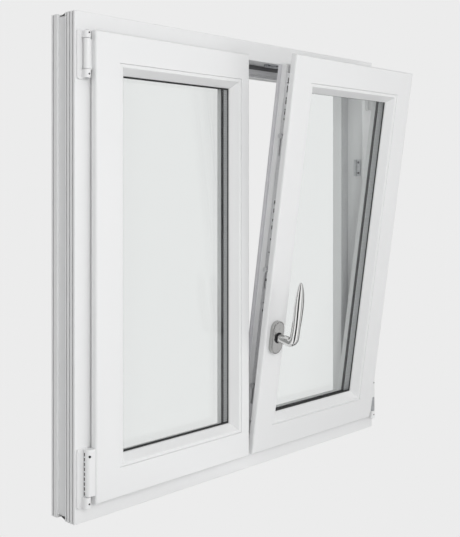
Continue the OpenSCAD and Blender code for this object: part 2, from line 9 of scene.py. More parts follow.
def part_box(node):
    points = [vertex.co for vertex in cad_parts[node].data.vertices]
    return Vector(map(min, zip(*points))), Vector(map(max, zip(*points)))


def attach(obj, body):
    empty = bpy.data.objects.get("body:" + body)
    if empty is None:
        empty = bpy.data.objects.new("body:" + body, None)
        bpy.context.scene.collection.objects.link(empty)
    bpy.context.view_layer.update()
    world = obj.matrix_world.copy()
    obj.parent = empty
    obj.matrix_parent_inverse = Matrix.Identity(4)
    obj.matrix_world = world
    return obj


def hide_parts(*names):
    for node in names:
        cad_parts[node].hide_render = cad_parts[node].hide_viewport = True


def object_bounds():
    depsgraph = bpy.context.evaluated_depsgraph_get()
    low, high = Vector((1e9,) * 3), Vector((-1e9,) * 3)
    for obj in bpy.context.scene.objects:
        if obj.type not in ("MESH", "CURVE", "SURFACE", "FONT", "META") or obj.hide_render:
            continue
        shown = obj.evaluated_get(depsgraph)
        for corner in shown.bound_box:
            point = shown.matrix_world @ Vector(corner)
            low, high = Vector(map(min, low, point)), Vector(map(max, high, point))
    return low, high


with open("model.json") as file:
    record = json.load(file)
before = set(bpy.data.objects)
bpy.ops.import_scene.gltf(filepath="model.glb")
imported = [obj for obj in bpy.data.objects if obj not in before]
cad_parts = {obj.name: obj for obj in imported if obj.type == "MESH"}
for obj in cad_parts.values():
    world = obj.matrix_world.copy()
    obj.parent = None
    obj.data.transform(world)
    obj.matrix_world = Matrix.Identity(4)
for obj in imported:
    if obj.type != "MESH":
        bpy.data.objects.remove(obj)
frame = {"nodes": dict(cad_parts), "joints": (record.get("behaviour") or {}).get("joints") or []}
cad_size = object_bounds()

# ---- Camera ----
# It stands in the room, level and a little above the middle of the window, and looks
# across it from the left-hand side. The lens is shifted so that upright lines stay upright.
mm = 0.001
camera = bpy.data.objects.new("camera", bpy.data.cameras.new("camera"))
bpy.context.scene.collection.objects.link(camera)
bpy.context.scene.camera = camera
camera.location = (-1.3760, -1.2638, 0.5861)
camera.rotation_euler = (math.radians(90), 0, math.radians(-46.20))
camera.data.lens = 59.28
camera.data.shift_y = -0.1467


# ---- Studio ----
# A pale seamless backdrop with soft light from the room side. The room is darker to the
# left of the window, so that the frame's outer edge falls away from its face.
class Sock:
    """One output of a node. A sum on it adds the Math node that works it out."""

    def __init__(self, nodes, output):
        self.nodes = nodes
        self.output = output

    def maths(self, operation, first, second):
        return self.nodes.node("Math", {"operation": operation}, {0: first, 1: second})

    def __add__(self, other):
        return self.maths("ADD", self, other)

    def __radd__(self, other):
        return self.maths("ADD", other, self)

    def __sub__(self, other):
        return self.maths("SUBTRACT", self, other)

    def __rsub__(self, other):
        return self.maths("SUBTRACT", other, self)

    def __mul__(self, other):
        return self.maths("MULTIPLY", self, other)

    def __rmul__(self, other):
        return self.maths("MULTIPLY", other, self)

    def __pow__(self, other):
        return self.maths("POWER", self, other)

    def __lt__(self, other):
        return self.maths("LESS_THAN", self, other)

    def __gt__(self, other):
        return self.maths("GREATER_THAN", self, other)


class Nodes:
    """The nodes of one material, or of the world."""

    def __init__(self, owner):
        owner.use_nodes = True
        self.owner = owner
        self.tree = owner.node_tree
        self.tree.nodes.clear()

    def node(self, kind, settings=None, inputs=None, output=0):
        made = self.tree.nodes.new("ShaderNode" + kind)
        for key, value in (settings or {}).items():
            if key == "stops":
                ramp = made.color_ramp.elements
                for _ in range(len(value) - len(ramp)):
                    ramp.new(0.5)
                for stop, (place, colour) in zip(ramp, value):
                    stop.position = place
                    stop.color = colour
            else:
                setattr(made, key, value)
        for key, value in (inputs or {}).items():
            if isinstance(value, Sock):
                self.tree.links.new(value.output, made.inputs[key])
            else:
                made.inputs[key].default_value = value
        return Sock(self, made.outputs[output]) if made.outputs else None

    def place(self):
        return self.node("TexCoord", output="Object")

    def noise(self, where, scale, detail=2.0):
        return self.node("TexNoise", {}, {"Vector": where, "Scale": scale, "Detail": detail})

    def stretch(self, where, scale):
        return self.node("Mapping", {}, {"Vector": where, "Scale": scale})

    def colour(self, share, low, high):
        """A colour between low and high, by share."""
        return self.node("Mix", {"data_type": "RGBA"}, {0: share, 6: low, 7: high}, 2)

    def bump(self, height, depth):
        """A surface raised by height, from 0 to 1, times depth in metres."""
        return self.node("Bump", {}, {"Strength": 1.0, "Distance": depth, "Height": height})

    def surface(self, inputs, settings=None):
        shader = self.node("BsdfPrincipled", settings, inputs)
        self.node("OutputMaterial", {}, {"Surface": shader})
        return self.owner


backdrop = (0.839, 0.839, 0.839, 1)
black, white = (0, 0, 0, 1), (1, 1, 1, 1)
room = Nodes(bpy.data.worlds.new("studio"))
bpy.context.scene.world = room.owner
heading = room.node("TexCoord", output="Generated")
heading_x = room.node("SeparateXYZ", {}, {"Vector": heading}, 0)
heading_y = room.node("SeparateXYZ", {}, {"Vector": heading}, 1)
left_side = room.node("Math", {"operation": "MAXIMUM"}, {0: 0 - heading_x, 1: 0.0})
room_side = room.node("Math", {"operation": "MAXIMUM"}, {0: 0 - heading_y, 1: 0.0})
all_round, from_room, from_left = 0.15, 0.84, 0.46
glow = room.colour(all_round + room_side * from_room + left_side * from_left, black, white)
# What polished metal mirrors: two bright screens with a dark gap between them.
gap_way = (-0.770, -0.638, 0)
level = room.node("VectorMath", {"operation": "MULTIPLY"}, {0: heading, 1: (1, 1, 0)})
level = room.node("VectorMath", {"operation": "NORMALIZE"}, {0: level})
facing = room.node("VectorMath", {"operation": "DOT_PRODUCT"}, {0: level, 1: gap_way}, "Value")
screens = room.node("ValToRGB", {"stops": (
    (0.0, (0.12, 0.12, 0.12, 1)), (0.32, (0.20, 0.20, 0.20, 1)), (0.37, backdrop),
    (0.49, backdrop), (0.54, (0.34, 0.34, 0.34, 1)), (0.66, (0.40, 0.40, 0.40, 1)),
    (0.76, white), (0.955, white), (0.982, (0.03, 0.03, 0.03, 1)))},
    {"Fac": facing * 0.5 + 0.5})
mirrored = room.node("LightPath", output="Is Glossy Ray")
seen = room.node("LightPath", output="Is Camera Ray")
lit = room.node("Background", {}, {"Color": room.colour(mirrored, glow, screens)})
plain = room.node("Background", {}, {"Color": backdrop})
room.node("OutputWorld", {}, {"Surface": room.node("MixShader", {}, {0: seen, 1: lit, 2: plain})})


def soft_light(name, place, aim, size, power):
    lamp = bpy.data.lights.new(name, "AREA")
    lamp.shape = "RECTANGLE"
    lamp.size, lamp.size_y = size
    lamp.energy = power
    light = bpy.data.objects.new(name, lamp)
    bpy.context.scene.collection.objects.link(light)
    light.location = place
    light.rotation_euler = (Vector(aim) - Vector(place)).to_track_quat("-Z", "Y").to_euler()
    light.visible_glossy = False
    light.visible_camera = False


soft_light("fill_light", (0.95, -1.9, 0.25), (0.2, 0.0, 0.5), (0.9, 0.9), 6)
soft_light("back_light", (0.5, 2.8, 0.9), (0.0, 0.0, 0.45), (1.6, 1.6), 26)
soft_light("key_light", (-0.95, -1.7, 1.0), (0.0, 0.0, 0.5), (0.7, 0.7), 8)

floor_mesh = bmesh.new()
bmesh.ops.create_grid(floor_mesh, x_segments=1, y_segments=1, size=12)
bmesh.ops.translate(floor_mesh, verts=floor_mesh.verts[:], vec=(0, 0, cad_size[0].z - 0.5 * mm))
floor_data = bpy.data.meshes.new("studio_floor")
floor_mesh.to_mesh(floor_data)
floor_mesh.free()
floor = bpy.data.objects.new("studio_floor", floor_data)
bpy.context.scene.collection.objects.link(floor)
floor.visible_glossy = False
floor_look = Nodes(bpy.data.materials.new("pale_floor"))
floor_lighting = floor_look.node("LightPath", output="Is Diffuse Ray")
floor_glow = floor_look.node("Emission", {}, {"Color": backdrop})
floor_dull = floor_look.node("BsdfDiffuse", {}, {"Color": (0.74, 0.74, 0.74, 1)})
floor_look.node("OutputMaterial", {}, {"Surface": floor_look.node(
    "MixShader", {}, {0: floor_lighting, 1: floor_glow, 2: floor_dull})})
floor_data.materials.append(floor_look.owner)
bpy.context.scene.view_settings.view_transform = "Standard"
bpy.context.scene.view_settings.look = "None"

# ---- Outer frame ----
# Four bars of extruded white PVC, mitred and welded at the corners. Fixing grooves run
# round the outer edge, and the leaves close against the wider leg on the outdoor side.


def rounded(shape, edges, radius, steps):
    """Rounds edges of a shape off."""
    bmesh.ops.bevel(shape, geom=edges, offset=radius, segments=steps, profile=0.5,
                    affect="EDGES", material=-1)


def drawn(outline, length, start=((0, 0), (1, 1)), end=((0, 0), (1, 1)), joint=0.0):
    """A bar whose profile has (across, depth, corner radius) corners. Each end is cut back
    by the (across, along) line that is given for it; a joint bevels the cut's edge."""
    bar = bmesh.new()
    corners = [bar.verts.new((across, depth, 0)) for across, depth, _ in outline]
    bar.faces.new(corners)
    for radius in sorted({corner[2] for corner in outline} - {0}):
        picked = [vert for vert, corner in zip(corners, outline) if corner[2] == radius]
        bmesh.ops.bevel(bar, geom=picked, offset=radius, offset_type="OFFSET",
                        segments=6, profile=0.5, affect="VERTICES", material=-1)
    grown = bmesh.ops.extrude_face_region(bar, geom=bar.faces[:])["geom"]
    far = [part for part in grown if isinstance(part, bmesh.types.BMVert)]
    bmesh.ops.translate(bar, verts=far, vec=(0, 0, length))
    for bend in {point[0] for line in (start, end) for point in line[1:-1]}:
        bmesh.ops.bisect_plane(bar, geom=bar.verts[:] + bar.edges[:] + bar.faces[:],
                               dist=1e-7, plane_co=(bend, 0, 0), plane_no=(1, 0, 0))
    for vert in bar.verts:
        if vert.co.z < length / 2:
            vert.co.z += cut_back(start, vert.co.x)
        else:
            vert.co.z -= cut_back(end, vert.co.x)
    if joint:
        rims = [edge for edge in bar.edges
                if any(abs(face.normal.z) > 0.3 for face in edge.link_faces)
                and any(abs(face.normal.z) < 0.1 for face in edge.link_faces)]
        rounded(bar, rims, joint, 2)
    return bar


def cut_back(line, across):
    """How far along the bar the cut lies at a distance across it."""
    spans = [pair for pair in zip(line, line[1:]) if across <= pair[1][0] + 1e-7]
    (low, low_cut), (high, high_cut) = spans[0] if spans else line[-2:]
    return low_cut + (across - low) * (high_cut - low_cut) / (high - low)


def around(rect, side):
    """The place of a bar on one side of a (left, right, low, high) rectangle."""
    left, right, low, high = rect
    corner, inward, along = {
        "bottom": ((left, 0, low), (0, 0, 1), (1, 0, 0)),
        "top": ((left, 0, high), (0, 0, -1), (1, 0, 0)),
        "left": ((left, 0, low), (1, 0, 0), (0, 0, 1)),
        "right": ((right, 0, low), (-1, 0, 0), (0, 0, 1))}[side]
    place = Matrix((inward, (0, 1, 0), along)).transposed().to_4x4()
    place.translation = corner
    return place


def span(rect, side):
    """The length of one side of a rectangle."""
    left, right, low, high = rect
    return right - left if side in ("top", "bottom") else high - low


def fitted(name, body, finish, shapes, stands_for=(), soft_angle=32):
    """Makes one finished piece of a list of closed shapes, and mounts it on its body."""
    whole = bpy.data.meshes.new(name)
    joined = bmesh.new()
    for shape in shapes:
        bmesh.ops.recalc_face_normals(shape, faces=shape.faces[:])
        shape.to_mesh(whole)
        shape.free()
        joined.from_mesh(whole)
    joined.to_mesh(whole)
    joined.free()
    whole.shade_smooth()
    whole.set_sharp_from_angle(angle=math.radians(soft_angle))
    whole.materials.append(finish)
    made = bpy.data.objects.new(name, whole)
    bpy.context.scene.collection.objects.link(made)
    evened = made.modifiers.new("even_shading", "WEIGHTED_NORMAL")
    evened.keep_sharp = True
    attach(made, body)
    if stands_for:
        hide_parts(*stands_for)
    return made


def pvc(name, tone, streak):
    """Satin PVC: a fine grain with faint drawn streaks along the bar."""
    nodes = Nodes(bpy.data.materials.new(name))
    place = nodes.place()
    clouds = nodes.noise(place, 7.0)
    grain = nodes.noise(place, 1500.0, 1.0)
    streaks = nodes.noise(nodes.stretch(place, streak), 350.0, 3.0)
    shade = clouds * 0.8 + streaks * 0.2
    darker = tuple(part * 0.985 for part in tone)
    return nodes.surface({
        "Base Color": nodes.colour(shade, (*darker, 1), (*tone, 1)),
        "Roughness": 0.32 + grain * 0.12 + streaks * 0.04,
        "IOR": 1.53,
        "Normal": nodes.bump(grain * 0.6 + streaks * 0.4, 0.02 * mm)})


upright_streak = (1, 1, 0.01)
level_streak = (0.01, 1, 1)
pvc_tone = (0.872, 0.876, 0.878)
pvc_upright = pvc("white_pvc_upright", pvc_tone, upright_streak)
pvc_level = pvc("white_pvc_level", pvc_tone, level_streak)

frame_depth = 70 * mm
frame_face = 40 * mm
leg_width = 68 * mm
leg_depth = 44 * mm
slot_deep, channel_deep = 6.5 * mm, 5 * mm
slot_wide = 2.6 * mm
slots = (62.8 * mm, 22.8 * mm, 14.3 * mm, 5.3 * mm)
channel = (28.5 * mm, 52.5 * mm)
slot_lip, undercut = 0.9 * mm, 1.8 * mm
# The groove for the stop seal, measured back from the edge of the leg.
seal_near, seal_far, seal_deep = 8 * mm, 4 * mm, 2 * mm


def groove(near, far, deep):
    """The corners of an undercut groove in a profile's outer edge, from the outdoor side."""
    return [(0, far, 0.3 * mm), (slot_lip, far, 0), (slot_lip, far + undercut, 0),
            (deep, far + undercut, 0.5 * mm), (deep, near - undercut, 0.5 * mm),
            (slot_lip, near - undercut, 0), (slot_lip, near, 0), (0, near, 0.3 * mm)]


frame_outline = [
    (0, 0, 1.2 * mm), (frame_face, 0, 2 * mm), (frame_face, leg_depth, 0.8 * mm),
    (leg_width - seal_near, leg_depth, 0), (leg_width - seal_near, leg_depth + seal_deep, 0),
    (leg_width - seal_far, leg_depth + seal_deep, 0), (leg_width - seal_far, leg_depth, 0),
    (leg_width, leg_depth, 1.5 * mm), (leg_width, frame_depth, 2.5 * mm),
    (0, frame_depth, 1.5 * mm),
    *groove(slots[0], slots[0] + slot_wide, slot_deep),
    *groove(*channel, channel_deep),
    *(corner for slot in slots[1:] for corner in groove(slot, slot + slot_wide, slot_deep))]


def bolt_mouth(bar, along, depth, radius, deep):
    """Sinks a round hole for a shoot bolt into the face that the leaves close over: a square
    patch is cut out of the face, and the hole's rim is joined to the patch's edge."""
    spot = Vector((frame_face, depth, along))
    upright, level = Vector((0, 0, 1)), Vector((0, 1, 0))
    cuts = [(spot + way * side * radius * 1.3, way) for way in (upright, level) for side in (-1, 1)]
    for place, way in cuts:
        patch = rebate_face(bar, spot)
        bmesh.ops.bisect_plane(bar, geom=[patch, *patch.edges, *patch.verts], dist=1e-7,
                               plane_co=place, plane_no=way)
    patch = rebate_face(bar, spot)
    outer = patch.edges[:]
    bmesh.ops.delete(bar, geom=[patch], context="FACES_ONLY")
    turned = Matrix.Translation(spot) @ Matrix.Rotation(math.radians(90), 4, "Y")
    mouth = bmesh.ops.create_circle(bar, segments=24, radius=radius, matrix=turned)["verts"]
    rim = list(dict.fromkeys(line for vert in mouth for line in vert.link_edges))
    filled = bmesh.ops.triangle_fill(bar, edges=outer + rim, use_beauty=True)["geom"]
    cover = [part for part in filled if isinstance(part, bmesh.types.BMFace)
             and all(vert in mouth for vert in part.verts)]
    bmesh.ops.delete(bar, geom=cover, context="FACES_ONLY")
    walls = bmesh.ops.extrude_edge_only(bar, edges=rim)["geom"]
    inner = [part for part in walls if isinstance(part, bmesh.types.BMVert)]
    bmesh.ops.translate(bar, verts=inner, vec=(-deep, 0, 0))
    bottom = [part for part in walls if isinstance(part, bmesh.types.BMEdge)
              and all(vert in inner for vert in part.verts)]
    bmesh.ops.holes_fill(bar, edges=bottom)


def rebate_face(bar, spot):
    """The face of the rebate that holds a spot."""
    bar.normal_update()
    return next(face for face in bar.faces
                if abs(face.normal.x) > 0.9 and abs(face.verts[0].co.x - spot.x) < 0.01 * mm
                and bmesh.geometry.intersect_face_point(face, spot))


sill_low, sill_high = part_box("frame_sill")
frame_rect = (sill_low.x, sill_high.x, sill_low.z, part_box("frame_head")[1].z)
bolt_play, bolt_reach = 0.7 * mm, 24 * mm
for side, node, name in (("top", "frame_head", "head_profile"),
                         ("bottom", "frame_sill", "sill_profile"),
                         ("left", "frame_jamb_left", "left_jamb_profile"),
                         ("right", "frame_jamb_right", "right_jamb_profile")):
    bar = drawn(frame_outline, span(frame_rect, side))
    if side in ("top", "bottom"):
        bolt_low, bolt_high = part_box(f"shoot_bolt_{side}")
        bolt = (bolt_low + bolt_high) / 2
        bolt_mouth(bar, bolt.x - sill_low.x, bolt.y, bolt_high.x - bolt.x + bolt_play, bolt_reach)
    bmesh.ops.transform(bar, matrix=around(frame_rect, side), verts=bar.verts[:])
    fitted(name, "frame", pvc_level if side in ("top", "bottom") else pvc_upright,
           [bar], [node])

# ---- Leaves ----
# Each leaf is four PVC bars, welded into a ring. Its lip laps over the frame, and the
# left leaf's meeting stile is a narrow bar without a lip, which the right leaf stands by.
leaf_face = -20 * mm
lip_back = -5 * mm
leaf_back = 42 * mm
lip = 20 * mm
flat = 54 * mm
meeting_flat = 24 * mm
bead_width = 20 * mm
leg_height = 11 * mm
seat = 29 * mm
lip_groove_near, lip_groove_far, lip_groove_deep = 8.2 * mm, 4.8 * mm, 2 * mm
hardware_near, hardware_far, hardware_deep = 5 * mm, 21 * mm, 2.2 * mm
deep_near, deep_far, deep_deep = 7 * mm, 19 * mm, 10.2 * mm


def hardware_groove(edge):
    """The corners of the groove that holds the locking gear, from the outdoor side."""
    return [(edge, hardware_far, 0.4 * mm), (edge + hardware_deep, hardware_far, 0),
            (edge + hardware_deep, deep_far, 0), (edge + deep_deep, deep_far, 0.5 * mm),
            (edge + deep_deep, deep_near, 0.5 * mm), (edge + hardware_deep, deep_near, 0),
            (edge + hardware_deep, hardware_near, 0), (edge, hardware_near, 0.4 * mm)]


leaf_outline = [
    (0, leaf_face, 4 * mm), (flat, leaf_face, 0.6 * mm), (flat, seat, 0),
    (flat + leg_height, seat, 1.5 * mm), (flat + leg_height, leaf_back, 4 * mm),
    (lip, leaf_back, 2 * mm), *hardware_groove(lip),
    (lip, lip_back, 0), (lip_groove_near, lip_back, 0),
    (lip_groove_near, lip_back - lip_groove_deep, 0),
    (lip_groove_far, lip_back - lip_groove_deep, 0), (lip_groove_far, lip_back, 0),
    (0, lip_back, 1.5 * mm)]
meeting_front = [(0, leaf_face, 4 * mm), (meeting_flat, leaf_face, 0.6 * mm),
                 (meeting_flat, lip_back, 0), (0, lip_back, 0)]
meeting_body = [(0, lip_back, 0), (meeting_flat, lip_back, 0), (meeting_flat, seat, 0),
                (meeting_flat + leg_height, seat, 1.5 * mm),
                (meeting_flat + leg_height, leaf_back, 4 * mm), (0, leaf_back, 2 * mm),
                *hardware_groove(0)]
square_mitre = ((0, 0), (1, 1))
rail_mitre = ((0, 0), (flat, meeting_flat), (flat + bead_width, meeting_flat + bead_width))
stile_mitre = tuple((along, across) for across, along in rail_mitre)
stile_body_cut = ((0, lip), (lip * meeting_flat / flat, lip), *stile_mitre[1:])

left_low, left_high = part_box("left_bottom_rail")[0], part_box("left_top_rail")[1]
left_rect = (left_low.x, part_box("left_meeting_stile")[1].x, left_low.z, left_high.z)
right_rect = (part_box("right_meeting_stile")[0].x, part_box("right_hinge_stile")[1].x,
              left_low.z, left_high.z)
right_tilt = next(joint for joint in frame["joints"] if joint["name"] == "right_tilt")
tilt_point = Vector(right_tilt["pos_m"])
lean = (Matrix.Translation(tilt_point)
        @ Matrix.Rotation(math.radians(-min(right_tilt["range_deg"])), 4, "X")
        @ Matrix.Translation(-tilt_point))


def leaf_bar(outline, rect, side, start=square_mitre, end=square_mitre, leaning=False, joint=0.0):
    bar = drawn(outline, span(rect, side), start, end, joint)
    place = around(rect, side)
    bmesh.ops.transform(bar, matrix=lean @ place if leaning else place, verts=bar.verts[:])
    return bar


for side in ("top", "bottom"):
    fitted(f"left_leaf_{side}_bar", "left_leaf", pvc_level,
           [leaf_bar(leaf_outline, left_rect, side, end=rail_mitre)], [f"left_{side}_rail"])
fitted("left_leaf_hinge_bar", "left_leaf", pvc_upright,
       [leaf_bar(leaf_outline, left_rect, "left")], ["left_hinge_stile"])
fitted("left_leaf_meeting_bar", "left_leaf", pvc_upright,
       [leaf_bar(meeting_front, left_rect, "right", stile_mitre, stile_mitre),
        leaf_bar(meeting_body, left_rect, "right", stile_body_cut, stile_body_cut)],
       ["left_meeting_stile"])
for side, node in (("top", "top_rail"), ("bottom", "bottom_rail"),
                   ("left", "meeting_stile"), ("right", "hinge_stile")):
    fitted(f"right_leaf_{node.split('_')[0]}_bar", "right_leaf",
           pvc_level if "rail" in node else pvc_upright,
           [leaf_bar(leaf_outline, right_rect, side, leaning=True)], [f"right_{node}"])

# ---- Glazing beads ----
# PVC strips that snap into the leaves and hold the glass from the room side. They are cut
# to a mitre and pressed in one at a time, so that a hairline shows at each corner.
bead_back, bead_front, bead_shoulder = 1.5 * mm, leaf_face + 0.8 * mm, 6.8 * mm
bead_edge, bead_inset, bead_foot, bead_foot_y = -3.8 * mm, 0.3 * mm, 4 * mm, -1 * mm
bead_outline = [
    (bead_inset, bead_back, 0.3 * mm), (bead_inset, bead_front, 0.9 * mm),
    (bead_shoulder, bead_front, 0.9 * mm), (bead_width, bead_edge, 1.3 * mm),
    (bead_width, bead_foot_y, 0.3 * mm), (bead_foot, bead_foot_y, 0),
    (bead_foot, bead_back, 0.3 * mm)]
bead_joint = 0.25 * mm
bead_tone = (0.866, 0.870, 0.872)
bead_upright = pvc("bead_pvc_upright", bead_tone, upright_streak)
bead_level = pvc("bead_pvc_level", bead_tone, level_streak)
left_glazing = (left_rect[0] + flat, left_rect[1] - meeting_flat,
                left_rect[2] + flat, left_rect[3] - flat)
right_glazing = (right_rect[0] + flat, right_rect[1] - flat,
                 right_rect[2] + flat, right_rect[3] - flat)
leaf_sides = {"left": (left_glazing, {"left": "hinge", "right": "meeting"}),
              "right": (right_glazing, {"left": "meeting", "right": "hinge"})}
for leaf, (glazing, uprights) in leaf_sides.items():
    for side in ("top", "bottom", "left", "right"):
        where = uprights.get(side, side)
        fitted(f"{leaf}_glazing_bead_{where}", f"{leaf}_leaf",
               bead_level if side in ("top", "bottom") else bead_upright,
               [leaf_bar(bead_outline, glazing, side, leaning=leaf == "right", joint=bead_joint)],
               [f"{leaf}_bead_{where}"])

# ---- Rubber seals ----
# EPDM seals, slid into their grooves: a thin wedge on each side of the glass, a bulb between
# flat flaps on the frame's leg, and bulbs behind the leaves' lips and on the meeting stile.


def rubber(name, shade):
    """Matt EPDM, slightly chalky, with a fine moulded grain."""
    nodes = Nodes(bpy.data.materials.new(name))
    place = nodes.place()
    chalk = nodes.noise(place, 60.0)
    grain = nodes.noise(place, 2500.0, 1.0)
    fresh, aged = (shade, shade, shade * 1.06, 1), (shade + 0.02, shade + 0.02, shade + 0.022, 1)
    return nodes.surface({
        "Base Color": nodes.colour(chalk, fresh, aged),
        "Roughness": 0.62 + chalk * 0.18,
        "Normal": nodes.bump(grain, 0.04 * mm)})


def dress(node, finish):
    """Puts a finish on a CAD piece that is shown as it is."""
    worn = frame["nodes"][node].data.materials
    worn.clear()
    worn.append(finish)


epdm = rubber("black_rubber", 0.022)
glass_near, pane_thick, pane_gap = 2 * mm, 4 * mm, 16 * mm
glass_far = glass_near + 2 * pane_thick + pane_gap
wedge_root, wedge_front = 9 * mm, -0.9 * mm
outdoor_root, outdoor_back = 5 * mm, seat - 0.1 * mm


def room_wedge(lip_out):
    """The outline of a wedge whose lip stands out past the bead over the glass."""
    return [(wedge_root, wedge_front, 0),
            (bead_width + lip_out - 0.7 * mm, wedge_front, 0.5 * mm),
            (bead_width + lip_out, glass_near, 0), (wedge_root, glass_near, 0)]


outdoor_wedge = [(outdoor_root, glass_far, 0), (leg_height + 1.2 * mm, glass_far, 0),
                 (leg_height + 0.4 * mm, outdoor_back, 0.7 * mm), (outdoor_root, outdoor_back, 0)]
wide_lip, slim_lip = 2.9 * mm, 0.3 * mm
for leaf, (glazing, _) in leaf_sides.items():
    lips = {"top": wide_lip if leaf == "left" else slim_lip, "bottom": wide_lip,
            "left": slim_lip, "right": slim_lip}
    fitted(f"{leaf}_glass_wedges", f"{leaf}_leaf", epdm,
           [leaf_bar(wedge, glazing, side, leaning=leaf == "right")
            for side, lip_out in lips.items()
            for wedge in (room_wedge(lip_out), outdoor_wedge)], [f"{leaf}_glazing_seals"])
bulb_near, bulb_far = leg_width - 7.8 * mm, leg_width - 4.2 * mm
bulb_top, bulb_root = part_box("frame_seal")[0].y, leg_depth + 1.9 * mm
frame_bulb = [(bulb_near, bulb_root, 0), (bulb_near, bulb_top, 1.6 * mm),
              (bulb_far, bulb_top, 1.6 * mm), (bulb_far, bulb_root, 0)]
grey_rubber = rubber("grey_rubber", 0.44)


def flap(near, far):
    """The outline of a thin flap of seal that lies on the frame's leg."""
    top, foot = leg_depth - 1 * mm, leg_depth + 0.2 * mm
    return [(near, foot, 0), (near, top, 0.4 * mm), (far, top, 0.4 * mm), (far, foot, 0)]


corner_flap = flap(40.4 * mm, 50 * mm)
bulb_seal = [frame_bulb, flap(50.1 * mm, 59.6 * mm), flap(64.4 * mm, 66.6 * mm)]
fitted("frame_bulb_seal", "frame", grey_rubber,
       [leaf_bar(outline, frame_rect, side) for side in ("top", "bottom", "left", "right")
        for outline in bulb_seal + ([] if side == "top" else [corner_flap])], ["frame_seal"])
# Painted shade: along the head the same flap is drawn in near-black rubber, darker than the grey flaps
# on the other sides, for the shade under the head.
fitted("frame_head_flap_painted_shade", "frame", rubber("head_flap_painted_shade_rubber", 0.10),
       [leaf_bar(corner_flap, frame_rect, "top")], ["frame_seal"])
for node, finish in (("left_lip_seal", epdm), ("right_lip_seal", epdm),
                     ("right_meeting_seal", rubber("pale_rubber", 0.60))):
    dress(node, finish)

# ---- Sealed glass units ----
# Two panes of clear float glass with ground edges, held apart by a perforated aluminium
# spacer. Each unit stands on nylon setting blocks in the leaf's rebate.


def clear_glass(name):
    """Float glass: almost clear, with a mirror sheen that grows at a shallow angle."""
    nodes = Nodes(bpy.data.materials.new(name))
    ripple = nodes.bump(nodes.noise(nodes.place(), 9.0), 0.02 * mm)
    slant = nodes.node("LayerWeight", {}, {"Blend": 0.5}, "Facing")
    sheen = 0.04 + slant ** 5.0 * 0.9
    clear = nodes.node("BsdfTransparent", {}, {"Color": (0.985, 0.99, 0.988, 1)})
    mirror = nodes.node("BsdfAnisotropic", {}, {
        "Color": (0.96, 0.97, 0.97, 1), "Roughness": 0.01, "Normal": ripple})
    pane = nodes.node("MixShader", {}, {0: sheen, 1: clear, 2: mirror})
    nodes.node("OutputMaterial", {}, {"Surface": pane})
    return nodes.owner


def block(low, high, edge, segments=2):
    """A square-cornered block between two corners, with its edges taken off."""
    made = bmesh.new()
    bmesh.ops.create_cube(made, size=1)
    size = [top - bottom for bottom, top in zip(low, high)]
    bmesh.ops.scale(made, verts=made.verts[:], vec=size)
    middle = [(bottom + top) / 2 for bottom, top in zip(low, high)]
    bmesh.ops.translate(made, verts=made.verts[:], vec=middle)
    rounded(made, made.edges[:], edge, segments)
    return made


def spacer_metal(name, along, pitch=3.5 * mm, hole=0.5 * mm):
    """Rolled aluminium with a row of fine breather holes along the bar, painted in as dark spots of
    shade.
    """
    nodes = Nodes(bpy.data.materials.new(name))
    place = nodes.place()
    run = nodes.node("VectorMath", {"operation": "DOT_PRODUCT"}, {0: place, 1: along}, "Value")
    off_hole = nodes.node("Math", {"operation": "PINGPONG"}, {0: run, 1: pitch / 2})
    # Painted shade: the colour is darkened in a row of spots where the holes are, for the shade inside
    # them.
    hole_shade_row = off_hole < hole
    rolled = nodes.noise(nodes.stretch(place, (1, 12, 1)), 300.0)
    bright = nodes.colour(rolled, (0.60, 0.61, 0.62, 1), (0.72, 0.73, 0.74, 1))
    return nodes.surface({
        "Base Color": nodes.colour(hole_shade_row * 0.35, bright, (0.05, 0.05, 0.05, 1)),
        "Metallic": 0.75, "Roughness": 0.34 + rolled * 0.14})


float_glass = clear_glass("float_glass")
spacer_level = spacer_metal("spacer_level", (1, 0, 0))
spacer_upright = spacer_metal("spacer_upright", (0, 0, 1))
glass_inset = 3 * mm
spacer_low, spacer_high = glass_inset + 0.5 * mm, leg_height
spacer_outline = [(spacer_low, glass_near + pane_thick, 0.6 * mm),
                  (spacer_high, glass_near + pane_thick, 0.6 * mm),
                  (spacer_high, glass_far - pane_thick, 0.6 * mm),
                  (spacer_low, glass_far - pane_thick, 0.6 * mm)]
for leaf, (glazing, _) in leaf_sides.items():
    left, right, low, high = glazing
    leaning = leaf == "right"
    for pane, near in (("inner", glass_near), ("outer", glass_far - pane_thick)):
        sheet = block((left + glass_inset, near, low + glass_inset),
                      (right - glass_inset, near + pane_thick, high - glass_inset), 0.4 * mm, 1)
        if leaning:
            bmesh.ops.transform(sheet, matrix=lean, verts=sheet.verts[:])
        fitted(f"{leaf}_glass_{pane}", f"{leaf}_leaf", float_glass, [sheet],
               [f"{leaf}_pane_{pane}"])
    fitted(f"{leaf}_spacer_level", f"{leaf}_leaf", spacer_level,
           [leaf_bar(spacer_outline, glazing, side, leaning=leaning, joint=0.2 * mm)
            for side in ("top", "bottom")], [f"{leaf}_spacer"])
    fitted(f"{leaf}_spacer_upright", f"{leaf}_leaf", spacer_upright,
           [leaf_bar(spacer_outline, glazing, side, leaning=leaning, joint=0.2 * mm)
            for side in ("left", "right")], [f"{leaf}_spacer"])


def nylon(name, dark, light):
    """Injection-moulded nylon with a spark-eroded grain."""
    nodes = Nodes(bpy.data.materials.new(name))
    place = nodes.place()
    mottle = nodes.noise(place, 40.0)
    grain = nodes.noise(place, 1800.0, 1.0)
    return nodes.surface({
        "Base Color": nodes.colour(mottle, dark, light), "Roughness": 0.5 + grain * 0.15,
        "Normal": nodes.bump(grain, 0.05 * mm)})


